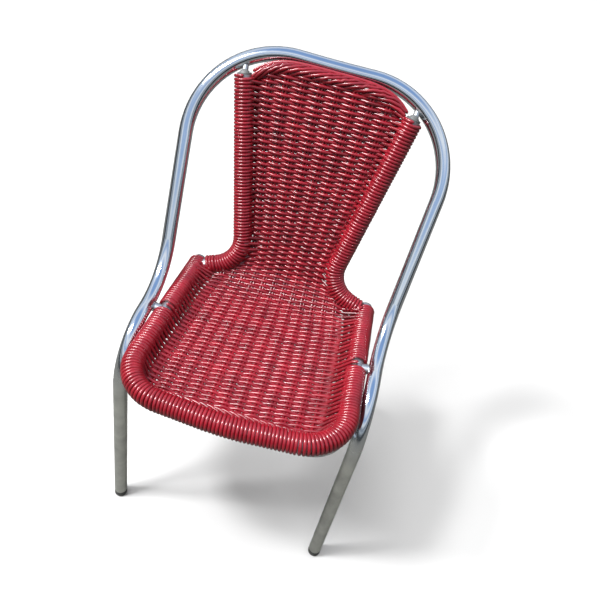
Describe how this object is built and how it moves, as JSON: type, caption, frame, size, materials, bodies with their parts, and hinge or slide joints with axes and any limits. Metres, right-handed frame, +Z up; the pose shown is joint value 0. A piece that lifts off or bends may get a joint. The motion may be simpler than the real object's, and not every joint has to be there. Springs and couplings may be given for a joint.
{
  "type": "stacking cafe chair",
  "caption": "Armless stacking outdoor chair: a bent aluminium tube frame carrying a seat and back woven from round plastic cord.",
  "frame": {"origin": "on the floor, at the centre of the chair's bounding box in X and Y", "axes": "+Z up, the chair faces -Y, +X is the sitter's left-right axis"},
  "size_m": [0.4928, 0.5507, 0.8371],
  "materials": {
    "polished_aluminium": "polished, lightly scratched",
    "satin_aluminium": "satin, as drawn",
    "red_cord": "smooth glossy PVC cord",
    "grey_plastic": "matt, slightly weathered",
    "dark_plastic": "matt, scuffed"
  },
  "bodies": {
    "root": {"main_frame_tube": "polished_aluminium", "rear_leg_frame_tube": "polished_aluminium", "seat_rim_tube": "satin_aluminium", "back_upright_tube_left": "satin_aluminium", "back_upright_tube_right": "satin_aluminium", "side_stub_left": "satin_aluminium", "side_stub_right": "satin_aluminium", "top_stub_left": "satin_aluminium", "top_stub_right": "satin_aluminium", "support_post_left": "satin_aluminium", "support_post_right": "satin_aluminium", "leg_stub_left": "satin_aluminium", "leg_stub_right": "satin_aluminium", "rim_end_cap_left": "grey_plastic", "rim_end_cap_right": "grey_plastic", "upright_end_plug_left": "grey_plastic", "upright_end_plug_right": "grey_plastic", "front_foot_cap_left": "dark_plastic", "front_foot_cap_right": "dark_plastic", "rear_foot_cap_left": "dark_plastic", "rear_foot_cap_right": "dark_plastic", "rim_wrap_front": "red_cord", "rim_wrap_rear_left": "red_cord", "rim_wrap_rear_right": "red_cord", "upright_wrap_left": "red_cord", "upright_wrap_right": "red_cord", "seat_weave": "red_cord", "back_weave": "red_cord", "top_braid": "red_cord", "front_twine": "red_cord"}
  },
  "joints": []
}
